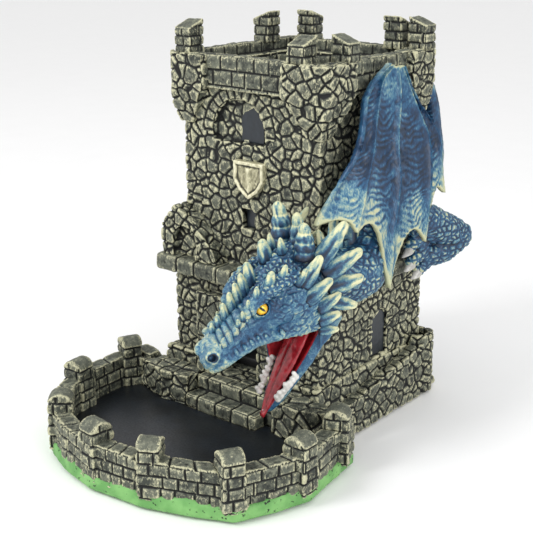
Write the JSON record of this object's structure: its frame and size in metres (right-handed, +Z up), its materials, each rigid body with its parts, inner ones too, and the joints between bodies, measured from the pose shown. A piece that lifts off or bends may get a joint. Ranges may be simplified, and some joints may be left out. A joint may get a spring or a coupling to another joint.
{
  "type": "dice tower",
  "caption": "Castle keep dice tower: an open-topped square stone shaft with inner ramps, a gate opening onto a walled landing tray, and a horned dragon clinging to the side.",
  "frame": {"origin": "on the underside, where the keep's vertical axis meets the plane that it stands on", "axes": "+Z up the keep, -Y towards the gate and the landing tray, +X towards the wall that the dragon head comes from"},
  "size_m": [0.134, 0.1922, 0.173],
  "materials": {
    "stone_paint": "matte",
    "grass_paint": "satin",
    "window_paint": "satin",
    "bone_paint": "matte",
    "black_mat": "satin",
    "chute_black": "matte",
    "felt": "matte",
    "dragon_blue": "satin",
    "horn_cream": "satin",
    "mouth_red": "gloss",
    "tooth_white": "satin",
    "claw_white": "gloss",
    "eye_yellow": "gloss"
  },
  "bodies": {
    "root": {"base_felt": "felt", "tower_base": "stone_paint", "lower_storey": "stone_paint", "gate_surround": "stone_paint", "string_course": "stone_paint", "corner_turret": "stone_paint", "tower_shaft": "stone_paint", "window_panes": "window_paint", "wall_shield": "bone_paint", "parapet": "stone_paint", "corner_bartizans": "stone_paint", "parapet_merlons": "stone_paint", "terrace_wall": "stone_paint", "left_gate_plinth": "stone_paint", "right_gate_plinth": "stone_paint", "entry_steps": "stone_paint", "tray_ground": "grass_paint", "tray_wall": "stone_paint", "tray_buttresses": "stone_paint", "tray_mat": "black_mat", "upper_ramp": "chute_black", "middle_ramp": "chute_black", "exit_ramp": "chute_black", "dragon_body": "dragon_blue", "dragon_neck": "dragon_blue", "dragon_tail": "dragon_blue", "dragon_head": "dragon_blue", "dragon_lower_jaw": "dragon_blue", "dragon_tongue": "mouth_red", "dragon_teeth": "tooth_white", "dragon_eyes": "eye_yellow", "dragon_horns": "horn_cream", "crest_spikes": "horn_cream", "cheek_spikes": "horn_cream", "brow_spikes": "horn_cream", "neck_spines": "dragon_blue", "left_wing": "dragon_blue", "right_wing": "dragon_blue", "foreleg": "dragon_blue", "foreleg_claws": "claw_white", "hind_leg": "dragon_blue", "hind_leg_claws": "claw_white"}
  },
  "joints": []
}
